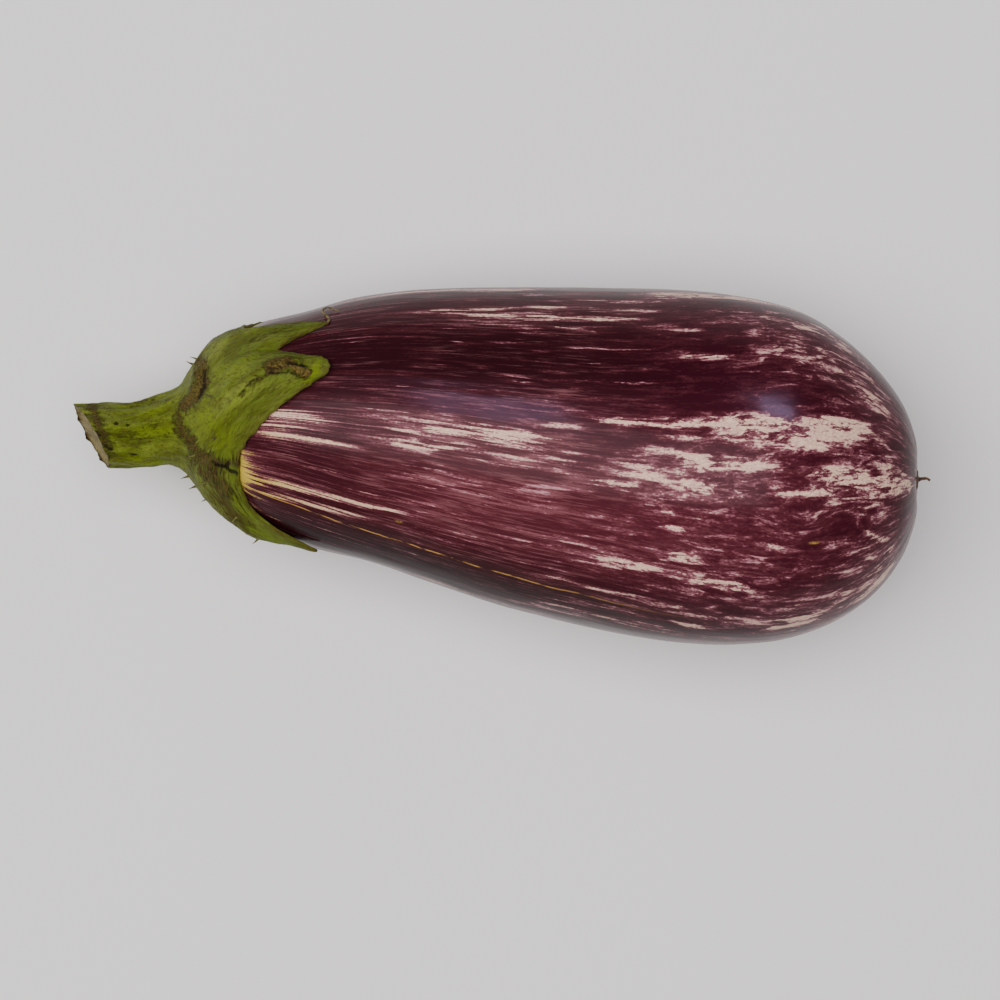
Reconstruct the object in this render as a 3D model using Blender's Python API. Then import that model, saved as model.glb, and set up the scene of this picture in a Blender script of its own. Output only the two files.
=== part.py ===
"""A striped eggplant lying on its side: the fruit, the green calyx that caps it, the cut stem,
and the dried remnant of the flower. +X runs from the stem to the flower end, +Z is up."""

import math
import random
from collections import namedtuple

import bmesh
import bpy
import numpy as np
from mathutils import Matrix, Vector

MM = 0.001

# Fruit
FRUIT_LENGTH = 163.3 * MM
BELLY_RADIUS = 40.3 * MM
FRUIT_RINGS = 40
FRUIT_SIDES = 56
POLE_CROWDING = 0.05  # how much closer the rings lie near both poles

# Half of the fruit's long section, as shares of its length and of its belly radius. It runs from
# the stem pole over the shoulder, the neck and the belly into the dimple of the flower end.
MERIDIAN = (
    (0.0, 0.0), (0.003, 0.200), (0.0153, 0.3616), (0.0398, 0.504), (0.0735, 0.608),
    (0.147, 0.702), (0.233, 0.769), (0.337, 0.841), (0.490, 0.933), (0.661, 0.992),
    (0.765, 0.975), (0.833, 0.917), (0.894, 0.796), (0.943, 0.632), (0.980, 0.430),
    (0.9965, 0.250), (1.0, 0.140), (0.9955, 0.0),
)

# The line through the fruit's middle: it bends sideways (y) and upwards (z) at the neck.
CORE = (
    (0.0, 0.9 * MM, 3.6 * MM), (10 * MM, 2.2 * MM, 2.7 * MM), (25 * MM, 3.4 * MM, 1.7 * MM),
    (45 * MM, 4.2 * MM, 0.7 * MM), (80 * MM, 2.2 * MM, 0.0), (110 * MM, 1.1 * MM, 0.0),
    (140 * MM, 1.1 * MM, 0.3 * MM), (FRUIT_LENGTH, 2.9 * MM, 0.8 * MM),
)

# How it lies: pitched so that the weight stands over a small flattened spot on the belly
REST_PITCH = math.radians(-5.6)
FLAT_DEPTH = 0.6 * MM

# Calyx
GAP = 0.3 * MM  # between neighbouring pieces
HUB_REACH = 8 * MM  # over the skin from the stem pole to the ring where the stem begins
HUB_HEIGHT = 7.4 * MM
EDGE_THICKNESS = 1.3 * MM
FLARE_LENGTH = 12.5 * MM  # over which the hub's flesh thins out into the lobes
MIDRIB_HEIGHT = 0.9 * MM
MIDRIB_WIDTH = 2.6 * MM
TIP_CURL = 1.0 * MM  # how far a lobe's tip stands off the fruit
CALYX_RINGS = 13
FLANK_COLUMNS = 8  # mesh columns between a lobe's tip and the notch beside it

# A lobe: the angle of its tip, its reach over the skin from the stem pole, how hollow its flanks
# are before and after the tip, half the angle its end is rounded over, and the angle and reach of
# the notch after it. Angles are in degrees about the core: 0 is +Y, 90 is +Z, 180 is -Y.
Lobe = namedtuple("Lobe", "tip reach before after blunt notch notch_reach")
LOBES = (
    Lobe(42, 45.0 * MM, 6.0, 1.5, 0.6, 53, 34.0 * MM),
    Lobe(66, 46.5 * MM, 1.2, 2.1, 5.0, 121, 23.5 * MM),
    Lobe(161, 43.5 * MM, 3.0, 2.4, 0.8, 194, 25.0 * MM),
    Lobe(224, 36.0 * MM, 2.2, 2.4, 0.8, 250, 24.0 * MM),
    Lobe(277, 40.0 * MM, 2.4, 2.6, 0.8, 304, 25.5 * MM),
    Lobe(331, 35.5 * MM, 2.2, 2.4, 0.8, 362, 25.0 * MM),
)

# A line of the calyx's mesh from the hub to the edge: its angle at either end, the reach of its
# edge, the angle of its lobe's midrib, and how near it is to the tip, from 0 in a notch to 1.
Column = namedtuple("Column", "hub_angle angle edge midrib near")

# Prickles on the calyx: some in set places (angle, share of the way to the edge), the rest drawn
PLACED_PRICKLES = ((178, 0.08), (181, 0.2), (166, 0.7), (20, 0.3))
DRAWN_PRICKLES = 11
PRICKLE_LENGTH = 2.2 * MM
PRICKLE_RADIUS = 0.45 * MM
PRICKLE_ROOT = 1.2 * MM  # how deep it is set into the calyx
PRICKLE_SEED = 7

# Stem: its middle line from the calyx outwards, beyond the oblique cut
STEM_LINE = (
    (-10.8 * MM, -0.8 * MM, 4.6 * MM), (-16 * MM, -2.3 * MM, 5.2 * MM),
    (-23 * MM, -3.3 * MM, 6.0 * MM), (-34 * MM, -4.4 * MM, 7.8 * MM),
)
STEM_RADIUS = 7.2 * MM
STEM_FLARE = 3.0 * MM  # added to the radius where it meets the calyx
STEM_FLARE_LENGTH = 4.2 * MM
STEM_RIBS = 5
RIB_SHARE = 0.045
CUT_POINT = Vector((-27.2 * MM, -3.8 * MM, 6.8 * MM))
CUT_NORMAL = Vector((-0.80, -0.56, 0.32)).normalized()
STEM_RINGS = 12
STEM_SIDES = 40

# Flower remnant: a corky scar and the dried style, which is a hook (along, aside, up)
SCAR_RADIUS = 2.4 * MM
SCAR_THICKNESS = 0.7 * MM
STYLE_RADIUS = 0.4 * MM
STYLE_LINE = (
    (0.2 * MM, 0.0, 0.0), (1.2 * MM, 0.2 * MM, 0.1 * MM),
    (2.1 * MM, 0.2 * MM, 0.5 * MM), (2.7 * MM, -0.2 * MM, 0.9 * MM),
)
STYLE_RINGS = 5
REMNANT_SIDES = 10


def ease(x):
    """A smooth step from 0 to 1."""
    x = min(max(x, 0), 1)
    return x * x * (3 - 2 * x)


def smooth_curve(points, before=None, after=None, steps=20):
    """A dense curve through the points: a centripetal Catmull-Rom spline. The two optional points
    lie beyond its ends and steer how it leaves them."""
    known = [np.array(p, float) for p in points]
    first = 2 * known[0] - known[1] if before is None else np.array(before, float)
    last = 2 * known[-1] - known[-2] if after is None else np.array(after, float)
    known = [first, *known, last]
    curve = []
    for p0, p1, p2, p3 in zip(known, known[1:], known[2:], known[3:]):
        t1 = np.linalg.norm(p1 - p0) ** 0.5
        t2 = t1 + np.linalg.norm(p2 - p1) ** 0.5
        t3 = t2 + np.linalg.norm(p3 - p2) ** 0.5
        for t in np.linspace(t1, t2, steps, endpoint=False):
            a1 = (t1 - t) / t1 * p0 + t / t1 * p1
            a2 = (t2 - t) / (t2 - t1) * p1 + (t - t1) / (t2 - t1) * p2
            a3 = (t3 - t) / (t3 - t2) * p2 + (t - t2) / (t3 - t2) * p3
            b1 = (t2 - t) / t2 * a1 + t / t2 * a2
            b2 = (t3 - t) / (t3 - t1) * a2 + (t - t1) / (t3 - t1) * a3
            curve.append((t2 - t) / (t2 - t1) * b1 + (t - t1) / (t2 - t1) * b2)
    return np.array(curve + [known[-2]])


class Path:
    """A curve that is read by the distance along it."""

    def __init__(self, points):
        self.points = points
        steps = np.linalg.norm(np.diff(points, axis=0), axis=1)
        self.distance = np.concatenate([[0], np.cumsum(steps)])
        self.length = self.distance[-1]

    def at(self, distance):
        return np.array([np.interp(distance, self.distance, c) for c in self.points.T])

    def direction(self, distance, step=0.4 * MM):
        ahead = self.at(min(distance + step, self.length)) - self.at(max(distance - step, 0))
        return ahead / np.linalg.norm(ahead)


def meridian_path():
    """The fruit's half section as (distance along the core, radius), square to the core at both ends."""
    points = [(a * FRUIT_LENGTH, r * BELLY_RADIUS) for a, r in MERIDIAN]
    before = (points[1][0], -points[1][1])
    after = (points[-2][0], -points[-2][1])
    return Path(smooth_curve(points, before, after))


CORE_PATH = Path(smooth_curve(CORE))
MERIDIAN_PATH = meridian_path()


def cross_axes(along):
    """The sideways and the upward direction square to a line that runs along this one."""
    sideways = np.cross((0, 0, 1), along)
    sideways /= np.linalg.norm(sideways)
    return sideways, np.cross(along, sideways)


def ring(centre, along, radius, count):
    """A round ring of points about a line."""
    sideways, upwards = cross_axes(along)
    turns = [math.tau * k / count for k in range(count)]
    return [
        Vector(centre + (sideways * math.cos(turn) + upwards * math.sin(turn)) * radius)
        for turn in turns
    ]


def swell(axial, angle):
    """How far the fruit departs from round, as a share of its radius: slight flats and lobes."""
    share = axial / FRUIT_LENGTH
    middle = math.sin(math.pi * min(max(share, 0), 1)) ** 2
    far_end = max(0, share - 0.55) / 0.45
    return (
        0.012 * middle * math.cos(2 * angle + 0.5)
        + 0.006 * middle * math.cos(3 * angle - 1.1)
        + 0.010 * far_end * math.sin(4 * angle + 0.4)
    )


def skin_point(reach, angle, lift=0.0):
    """The point at this distance over the skin from the stem pole, raised from it by lift."""
    axial, radius = MERIDIAN_PATH.at(reach)
    slope_axial, slope_radius = MERIDIAN_PATH.direction(reach)
    along = CORE_PATH.direction(max(axial, 0))
    sideways, upwards = cross_axes(along)
    outwards = sideways * math.cos(angle) + upwards * math.sin(angle)
    normal = outwards * slope_axial - along * slope_radius
    centre = CORE_PATH.at(max(axial, 0))
    return Vector(centre + outwards * radius * (1 + swell(axial, angle)) + normal * lift)


def new_object(name, mesh):
    obj = bpy.data.objects.new(name, mesh)
    bpy.context.scene.collection.objects.link(obj)
    return obj


def closed_object(name, rings, first_point, last_point):
    """A solid skinned over a row of point rings and closed by a fan to a point at either end."""
    bm = bmesh.new()
    rows = [[bm.verts.new(p) for p in points] for points in rings]
    first, last = bm.verts.new(first_point), bm.verts.new(last_point)
    sides = len(rows[0])
    for i in range(sides):
        j = (i + 1) % sides
        bm.faces.new((first, rows[0][j], rows[0][i]))
        for near, far in zip(rows, rows[1:]):
            bm.faces.new((near[i], near[j], far[j], far[i]))
        bm.faces.new((last, rows[-1][i], rows[-1][j]))
    bmesh.ops.recalc_face_normals(bm, faces=bm.faces)
    mesh = bpy.data.meshes.new(name)
    bm.to_mesh(mesh)
    bm.free()
    mesh.shade_smooth()
    return new_object(name, mesh)


def give_material(obj, colour, roughness):
    material = bpy.data.materials.new(obj.name)
    material.use_nodes = True
    shader = material.node_tree.nodes["Principled BSDF"]
    shader.inputs["Base Color"].default_value = (*colour, 1)
    shader.inputs["Roughness"].default_value = roughness
    obj.data.materials.append(material)


def make_fruit():
    """The fruit, one solid berry."""
    length = MERIDIAN_PATH.length
    shares = [(k + 1) / (FRUIT_RINGS + 1) for k in range(FRUIT_RINGS)]
    reaches = [length * (s - POLE_CROWDING * math.sin(math.tau * s)) for s in shares]
    angles = [math.tau * k / FRUIT_SIDES for k in range(FRUIT_SIDES)]
    rings = [[skin_point(reach, angle) for angle in angles] for reach in reaches]
    fruit = closed_object("fruit", rings, skin_point(0, 0), skin_point(length, 0))
    give_material(fruit, (0.13, 0.025, 0.05), 0.3)
    return fruit


def flank(notch_angle, notch_reach, end_angle, end_reach, hollow):
    """(angle, reach, nearness to the tip) of the edge from a notch up to the end of a lobe."""
    points = []
    for k in range(FLANK_COLUMNS):
        near = 1 - (1 - k / (FLANK_COLUMNS - 1)) ** 1.6
        angle = notch_angle + (end_angle - notch_angle) * near
        points.append((angle, notch_reach + (end_reach - notch_reach) * near**hollow, near))
    return points


def calyx_columns():
    """The calyx's mesh columns, in order round the fruit."""
    edge = []
    for last, lobe in zip((LOBES[-1], *LOBES), LOBES):
        notch = last.notch - 360 if last.notch > lobe.tip else last.notch
        rising = flank(notch, last.notch_reach, lobe.tip - lobe.blunt, lobe.reach, lobe.before)
        falling = flank(lobe.notch, lobe.notch_reach, lobe.tip + lobe.blunt, lobe.reach, lobe.after)
        tip = (lobe.tip - lobe.blunt * 0.4, lobe.reach * 1.012, 1.0)
        edge.extend((*point, lobe.tip) for point in (*rising, tip, *falling[:0:-1]))
    start = edge[0][0]
    return [
        Column(math.radians(start + 360 * k / len(edge)), math.radians(angle), reach,
               math.radians(midrib), near)
        for k, (angle, reach, near, midrib) in enumerate(edge)
    ]


def tip_curl(column, share):
    return TIP_CURL * column.near**4 * ease((share - 0.8) / 0.2)


def calyx_lift(column, share):
    """Height over the skin of the calyx's outer side: the hub's flare, the midribs, a thin edge."""
    reach = HUB_REACH + (column.edge - HUB_REACH) * share
    flesh = (HUB_HEIGHT - EDGE_THICKNESS) * math.exp((HUB_REACH - reach) / FLARE_LENGTH)
    thinning = 1 - 0.85 * ease((share - 0.55) / 0.45)
    aside = math.remainder(column.angle - column.midrib, math.tau) * MERIDIAN_PATH.at(reach)[1]
    profile = ease(share * 2.5) * (1 - share**3)
    rib = MIDRIB_HEIGHT * math.exp(-((aside / MIDRIB_WIDTH) ** 2)) * profile
    return GAP + EDGE_THICKNESS + flesh * thinning + rib + tip_curl(column, share)


def calyx_point(column, share, lift):
    """A point of a column, at this share of the way from the hub to the edge."""
    turn = ease(share * 1.15)
    angle = column.hub_angle + (column.angle - column.hub_angle) * turn
    return skin_point(HUB_REACH + (column.edge - HUB_REACH) * share, angle, lift)


def make_calyx():
    """The calyx: a cap whose lobes lie on the fruit's shoulder, with a hub that takes the stem."""
    columns = calyx_columns()
    shares = [k / (CALYX_RINGS - 1) for k in range(CALYX_RINGS)]
    outer = [[calyx_point(c, s, calyx_lift(c, s)) for c in columns] for s in shares]
    inner = [[calyx_point(c, s * 0.99, GAP + tip_curl(c, s)) for c in columns] for s in shares]
    hub_top = sum(outer[0], Vector()) / len(columns)
    calyx = closed_object("calyx", [*outer, *inner[::-1]], hub_top, skin_point(0, 0, GAP))
    fuse(calyx, make_prickles(columns))
    give_material(calyx, (0.16, 0.24, 0.05), 0.6)
    return calyx


def nearest_column(columns, degrees):
    angle = math.radians(degrees)
    return min(columns, key=lambda c: abs(math.remainder(c.angle - angle, math.tau)))


def make_prickles(columns):
    """Short prickles that stand on the calyx between the hub and the edge, leaning a little."""
    draw = random.Random(PRICKLE_SEED)
    places = [(nearest_column(columns, angle), share) for angle, share in PLACED_PRICKLES]
    places += [(draw.choice(columns), draw.uniform(0.25, 0.72)) for _ in range(DRAWN_PRICKLES)]
    prickles = []
    for column, share in places:
        lift = calyx_lift(column, share)
        foot = calyx_point(column, share, lift)
        outwards = (calyx_point(column, share, lift + MM) - foot).normalized()
        lean = Vector((draw.uniform(-0.6, 0.2), draw.uniform(-0.3, 0.3), draw.uniform(-0.3, 0.3)))
        way = (outwards + lean).normalized()
        depth = PRICKLE_LENGTH + PRICKLE_ROOT
        turn = way.to_track_quat("Z", "Y").to_matrix().to_4x4()
        centre = Matrix.Translation(foot + way * (depth / 2 - PRICKLE_ROOT))
        bm = bmesh.new()
        bmesh.ops.create_cone(
            bm, cap_ends=True, segments=5, radius1=PRICKLE_RADIUS, radius2=0, depth=depth,
            matrix=centre @ turn,
        )
        mesh = bpy.data.meshes.new("prickle")
        bm.to_mesh(mesh)
        bm.free()
        prickles.append(new_object("prickle", mesh))
    return prickles


def fuse(body, additions):
    """Unites the body with the objects that stand in it, and removes those objects."""
    group = bpy.data.collections.new("additions")
    for obj in additions:
        group.objects.link(obj)
    union = body.modifiers.new("union", "BOOLEAN")
    union.operation = "UNION"
    union.solver = "EXACT"
    union.operand_type = "COLLECTION"
    union.collection = group
    fused = bpy.data.meshes.new_from_object(body.evaluated_get(bpy.context.evaluated_depsgraph_get()))
    body.modifiers.clear()
    body.data = fused
    for obj in additions:
        bpy.data.objects.remove(obj)
    bpy.data.collections.remove(group)


def stem_radius(distance, angle):
    flare = STEM_FLARE * math.exp(-distance / STEM_FLARE_LENGTH)
    ribs = RIB_SHARE * ease(distance / (3 * MM)) * math.cos(STEM_RIBS * angle + 0.7)
    return (STEM_RADIUS + flare) * (1 + ribs)


def stem_foot(angle):
    """A point of the ring where the stem stands on the hub."""
    return skin_point(HUB_REACH, angle, HUB_HEIGHT + 2 * GAP)


def stem_side(line, angle):
    """One line of the stem's surface, from its foot to the oblique cut."""
    far = line.direction(line.length * 0.8)
    sideways, upwards = cross_axes(-far)
    outwards = sideways * math.cos(angle) + upwards * math.sin(angle)
    start = Vector(line.points[0] + outwards * STEM_RADIUS)
    length = CUT_NORMAL.dot(CUT_POINT - start) / CUT_NORMAL.dot(Vector(far))
    points = [stem_foot(angle)]
    for k in range(1, STEM_RINGS):
        distance = length * k / (STEM_RINGS - 1)
        sideways, upwards = cross_axes(-line.direction(distance))
        outwards = sideways * math.cos(angle) + upwards * math.sin(angle)
        points.append(Vector(line.at(distance) + outwards * stem_radius(distance, angle)))
    way = Vector(line.direction(length))
    points[-1] += way * (CUT_NORMAL.dot(CUT_POINT - points[-1]) / CUT_NORMAL.dot(way))
    return points


def make_stem():
    """The stem: it leaves the calyx's hub with a flare, has soft ribs and ends in an oblique cut."""
    foot = (stem_foot(0) + stem_foot(math.pi)) / 2
    into_fruit = foot + Vector(CORE_PATH.direction(0)) * 5 * MM
    line = Path(smooth_curve([foot, *STEM_LINE], before=into_fruit))
    sides = [stem_side(line, math.tau * k / STEM_SIDES) for k in range(STEM_SIDES)]
    rings = [list(points) for points in zip(*sides)]
    middles = [sum(points, Vector()) / STEM_SIDES for points in (rings[0], rings[-1])]
    stem = closed_object("stem", rings, *middles)
    give_material(stem, (0.17, 0.25, 0.06), 0.6)
    return stem


def make_flower_remnant():
    """The corky scar in the dimple at the flower end, with the dried style on it."""
    pole = np.array(skin_point(MERIDIAN_PATH.length, 0, GAP))
    axis = CORE_PATH.direction(CORE_PATH.length)
    frame = np.array([axis, *cross_axes(axis)])
    line = Path(smooth_curve(STYLE_LINE))
    profile = (
        (SCAR_RADIUS, 0.35), (SCAR_RADIUS, 0.7), (SCAR_RADIUS * 0.8, 1.0), (STYLE_RADIUS * 1.5, 1.15),
    )
    rings = [
        ring(pole + axis * SCAR_THICKNESS * height, axis, radius, REMNANT_SIDES)
        for radius, height in profile
    ]
    top = pole + axis * SCAR_THICKNESS
    for k in range(STYLE_RINGS):
        distance = line.length * k / (STYLE_RINGS - 1)
        radius = STYLE_RADIUS * (1 - 0.35 * k / (STYLE_RINGS - 1))
        way = line.direction(distance) @ frame
        rings.append(ring(top + line.at(distance) @ frame, way, radius, REMNANT_SIDES))
    remnant = closed_object("flower_remnant", rings, pole, top + line.points[-1] @ frame)
    give_material(remnant, (0.10, 0.06, 0.03), 0.9)
    return remnant


def lay_down(objects, fruit):
    """Pitches the eggplant as it rests, centres it over the origin, and sinks the belly a little
    below z = 0, where the resting spot is cut."""
    pitch = Matrix.Rotation(REST_PITCH, 4, "Y")
    for obj in objects:
        obj.data.transform(pitch)
    points = np.array([v.co for obj in objects for v in obj.data.vertices])
    low, high = points.min(0), points.max(0)
    belly = min(v.co.z for v in fruit.data.vertices)
    middle = (low + high) / 2
    for obj in objects:
        obj.data.transform(Matrix.Translation((-middle[0], -middle[1], -belly - FLAT_DEPTH)))
    cut_flat(fruit)


def cut_flat(fruit):
    """Removes what lies below z = 0 and closes the cut with a flat face."""
    bm = bmesh.new()
    bm.from_mesh(fruit.data)
    everything = [*bm.verts, *bm.edges, *bm.faces]
    cut = bmesh.ops.bisect_plane(
        bm, geom=everything, plane_co=(0, 0, 0), plane_no=(0, 0, -1), clear_outer=True
    )
    rim = [e for e in cut["geom_cut"] if isinstance(e, bmesh.types.BMEdge)]
    flat = bmesh.ops.contextual_create(bm, geom=rim)
    for face in flat["faces"]:
        face.smooth = False
    bmesh.ops.recalc_face_normals(bm, faces=bm.faces)
    bm.to_mesh(fruit.data)
    bm.free()


def main():
    for obj in list(bpy.data.objects):
        bpy.data.objects.remove(obj)
    fruit = make_fruit()
    lay_down([fruit, make_calyx(), make_stem(), make_flower_remnant()], fruit)


main()
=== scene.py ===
"""Looks of the striped eggplant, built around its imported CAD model: the streaked glossy skin, the
leathery calyx and cut stem with their prickles, and the dried remnant of the flower."""

import math
import random
from collections import namedtuple

import bpy
import numpy as np
from mathutils import Matrix, Vector, noise


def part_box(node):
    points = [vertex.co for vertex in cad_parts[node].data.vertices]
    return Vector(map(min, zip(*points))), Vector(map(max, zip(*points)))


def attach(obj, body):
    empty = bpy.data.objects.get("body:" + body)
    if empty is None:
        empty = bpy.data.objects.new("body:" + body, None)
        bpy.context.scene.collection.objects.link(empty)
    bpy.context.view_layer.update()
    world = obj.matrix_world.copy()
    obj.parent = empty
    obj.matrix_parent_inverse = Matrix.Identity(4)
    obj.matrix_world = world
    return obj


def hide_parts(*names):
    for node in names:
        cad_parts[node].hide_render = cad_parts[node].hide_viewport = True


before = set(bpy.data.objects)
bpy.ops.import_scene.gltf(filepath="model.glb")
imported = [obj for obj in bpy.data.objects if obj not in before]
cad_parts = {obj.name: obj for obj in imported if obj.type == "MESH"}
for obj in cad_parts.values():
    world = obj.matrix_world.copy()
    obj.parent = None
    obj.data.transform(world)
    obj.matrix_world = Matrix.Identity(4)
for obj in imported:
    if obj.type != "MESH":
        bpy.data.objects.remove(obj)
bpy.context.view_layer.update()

MM = 0.001

# The photograph's view, from straight above
CAMERA_PLACE = (0.0014, -0.0113, 0.94)
CAMERA_ROLL = math.radians(5)
CAMERA_LENS = 140.9
CAMERA_SENSOR = 36

# The fruit's form, as in the CAD source
FRUIT_LENGTH = 163.3 * MM
BELLY_RADIUS = 40.3 * MM
MERIDIAN = (
    (0, 0), (0.003, 0.200), (0.0153, 0.3616), (0.0398, 0.504), (0.0735, 0.608), (0.147, 0.702),
    (0.233, 0.769), (0.337, 0.841), (0.490, 0.933), (0.661, 0.992), (0.765, 0.975), (0.833, 0.917),
    (0.894, 0.796), (0.943, 0.632), (0.980, 0.430), (0.9965, 0.250), (1, 0.140), (0.9955, 0),
)
CORE = MM * np.array((
    (0, 0.9, 3.6), (10, 2.2, 2.7), (25, 3.4, 1.7), (45, 4.2, 0.7), (80, 2.2, 0),
    (110, 1.1, 0), (140, 1.1, 0.3), (FRUIT_LENGTH / MM, 2.9, 0.8),
))
REST_PITCH = math.radians(-5.6)

# The fine skin of the fruit
SKIN_RINGS = 318
SKIN_SIDES = 304
POLE_CROWDING = 0.05
FLOW_RADIUS = 40  # mm: the pattern is laid on a cylinder of this radius
WAVE_HEIGHT = 0.22 * MM  # slow unevenness of the skin
FLUTE_HEIGHT = 0.05 * MM  # fine ridges along the fruit
SKIN_BUMP = 0.06 * MM  # the finest relief, in the material

# A dent: its angle, its reach from the stem pole, its half widths and its depth, given in mm
Dent = namedtuple("Dent", "angle reach across along depth")
DENTS = tuple(Dent(angle, *np.multiply(sizes, MM)) for angle, *sizes in (
    (101, 166, 6.5, 7.5, 0.75), (118, 150, 5, 12, 0.25), (240, 120, 8, 14, 0.3), (-2, 37, 13, 11, 1.4),
))

# Bands in which the purple pigment is missing: the angle at either end, the reach where the band
# starts and ends, its half width and its strength. Angles are degrees about the core: 0 is +Y,
# 90 is +Z. Reaches are millimetres over the skin from the stem pole.
Band = namedtuple("Band", "angle end_angle start end half_width strength")
BANDS = tuple(Band(*values) for values in (
    # along the middle of the upper side
    (78.5, 78.5, 106, 150, 1.2, 0.95), (76.8, 78.6, 130, 160, 1.5, 1), (79.7, 86.5, 142, 168, 1.4, 1),
    (77, 80, 152, 184, 1.8, 1), (81, 82.5, 132, 178, 3.4, 0.8), (82.7, 82.5, 120, 140, 0.9, 0.8),
    (86, 90.8, 117, 146, 1.2, 0.85), (89.6, 90.2, 126, 155, 1.6, 0.95), (91, 98, 155, 194, 1.9, 0.92),
    (95, 99, 166, 198, 1.8, 0.9), (90, 93, 172, 196, 0.9, 0.85), (95, 100, 120, 148, 1.5, 0.82),
    (96.4, 99, 146, 176, 1.6, 0.8), (103, 108, 116, 146, 0.8, 0.75), (89.5, 91, 22, 50, 2, 0.9),
    (95.6, 95.5, 22, 46, 1.2, 0.8), (101.5, 100.3, 27, 56, 0.9, 0.9), (96.5, 95.5, 56, 86, 1.1, 0.85),
    (90, 88, 64, 98, 1.4, 0.92), (86, 86.5, 74, 104, 1.1, 0.85), (97.5, 99.3, 94, 130, 0.9, 0.8),
    (101, 96.5, 60, 102, 0.6, 0.7), (84, 79, 92, 112, 1, 0.72), (88, 92, 50, 112, 5, 0.6),
    (93, 97, 108, 150, 4.4, 0.68), (102, 106, 112, 160, 4, 0.5), (95, 98, 152, 188, 6, 0.66),
    # by the dent
    (100, 99, 147, 163, 0.9, 0.75), (104.4, 109, 148, 160, 0.9, 0.8), (109, 105.4, 157, 168, 1, 0.85),
    (108.7, 110.5, 122, 138, 0.9, 1), (110, 113, 140, 160, 0.8, 0.8), (101, 124, 166, 187, 0.9, 0.85),
    (111, 131, 166, 184, 0.9, 0.75), (116, 122, 160, 192, 6, 0.52),
    # the far side of the top and the upper flank
    (36, 32, 58, 90, 0.9, 0.85), (37, 38, 68, 120, 1.1, 0.95), (42, 43, 74, 112, 0.7, 0.75),
    (31, 33, 84, 124, 0.9, 0.75), (41, 45, 112, 134, 0.8, 0.7), (36.5, 37.3, 137, 153, 1.6, 0.8),
    (48.8, 53.4, 146, 164, 1.5, 0.72), (48.1, 53.6, 138, 154, 1.1, 0.65), (59.4, 63.1, 156, 172, 1.3, 0.75),
    (61.2, 68.2, 166, 188, 1.9, 0.75), (29.9, 34.5, 146, 168, 1.6, 0.65), (54.2, 55.7, 168, 188, 1.8, 0.7),
    (46.5, 60.4, 143, 174, 1, 0.6), (59.4, 67, 152, 176, 0.9, 0.6), (25, 28.4, 98, 134, 1.4, 0.6),
    (54.5, 56.6, 121, 142, 0.9, 0.9), (50, 60, 138, 186, 6, 0.58), (34, 42, 134, 178, 4, 0.6),
    # the lower flank
    (119.8, 118, 124, 140, 1.6, 1.05), (126.4, 124.2, 107, 132, 1.7, 0.85),
    (125.4, 126.4, 130, 152, 1.7, 0.92), (119.4, 121.3, 146, 159, 1.5, 0.85),
    (131.3, 131.6, 124, 137, 0.7, 0.9), (137, 138.7, 94, 143, 1, 0.75), (124, 126.4, 92, 112, 0.8, 0.65),
    (147.9, 146.1, 102, 136, 1.3, 0.6), (145.2, 137.7, 166, 188, 2.2, 1), (134.5, 128, 162, 184, 1.4, 0.95),
    (141.3, 139.8, 148, 168, 1.5, 0.98), (145.2, 145.3, 146, 166, 1.4, 0.98),
    (147.2, 146.7, 124, 146, 1.4, 0.85), (139, 136, 146, 190, 6, 0.6), (153, 153.7, 98, 136, 1.4, 0.7),
    (158, 157, 84, 140, 1.6, 0.55), (129, 124.5, 25, 69, 0.8, 1), (137.5, 131.5, 25, 61, 0.8, 0.95),
    (150, 159, 24, 40, 0.6, 0.8), (122, 127, 100, 160, 4, 0.5), (142, 140, 120, 180, 4, 0.5),
    # the sides and the underside
    (12, 14, 40, 96, 1.8, 0.8), (20, 16, 110, 190, 3, 0.8), (2, 4, 60, 130, 2.2, 0.75),
    (-12, -8, 84, 186, 3.2, 0.8), (-22, -20, 36, 110, 1.8, 0.8), (-36, -30, 120, 176, 2.4, 0.85),
    (-50, -44, 50, 140, 3, 0.8), (-66, -62, 104, 196, 3.4, 0.8), (-78, -82, 34, 92, 2.2, 0.8),
    (-94, -90, 96, 170, 2.6, 0.85), (-108, -104, 44, 130, 2.8, 0.85), (-122, -116, 124, 198, 3.2, 0.85),
    (-136, -140, 40, 118, 2, 0.8), (-150, -148, 100, 184, 2.8, 0.9), (-166, -160, 52, 128, 2.2, 0.8),
    (176, 172, 110, 192, 2.4, 0.85), (167, 166, 60, 104, 1.4, 0.7),
))

# Pigment is missing where the skin's texture is above this level, which the bands pull down
STREAK_LEVEL = 0.652
STREAK_PULL = 0.205

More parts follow.
